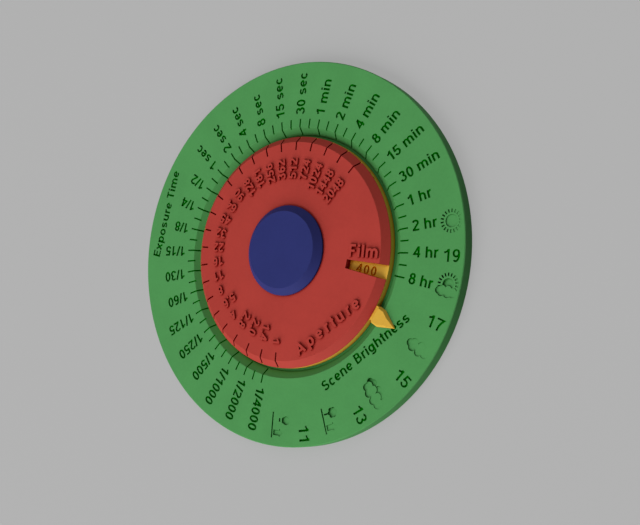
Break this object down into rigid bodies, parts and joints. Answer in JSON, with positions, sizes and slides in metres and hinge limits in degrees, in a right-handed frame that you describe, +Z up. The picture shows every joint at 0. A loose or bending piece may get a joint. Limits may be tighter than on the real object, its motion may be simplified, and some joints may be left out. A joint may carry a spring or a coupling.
{
  "type": "exposure calculator",
  "caption": "Pocket exposure calculator: a film speed dial with a pointer and an aperture dial with a window turn on a base plate's hub under a screwed cap.",
  "frame": {"origin": "centre of the base plate's underside, on the hub's axis", "axes": "+Z up out of the scales along the hub's axis, +X towards the 4 hour tick, +Y towards the 30 second tick"},
  "size_m": [0.108, 0.108, 0.0086],
  "materials": {
    "green_plastic": "matte",
    "natural_plastic": "matte",
    "yellow_plastic": "matte",
    "red_plastic": "matte",
    "blue_plastic": "matte",
    "spring_steel": "bright",
    "brass": "bright",
    "screw_steel": "bright"
  },
  "bodies": {
    "base": {"base_plate": "green_plastic", "slip_washer": "natural_plastic", "friction_spring": "spring_steel", "centre_cap": "blue_plastic", "threaded_insert": "brass", "pivot_screw": "screw_steel"},
    "film_dial": {"film_speed_dial": "yellow_plastic"},
    "aperture": {"aperture_dial": "red_plastic"}
  },
  "joints": [
    {"name": "pointer_turn", "type": "hinge", "parent": "base", "child": "film_dial", "pos_m": [0, 0, 0.003], "axis": [0, 0, 1], "continuous": true},
    {"name": "window_turn", "type": "hinge", "parent": "film_dial", "child": "aperture", "pos_m": [0, 0, 0.005], "axis": [0, 0, 1], "continuous": true}
  ]
}
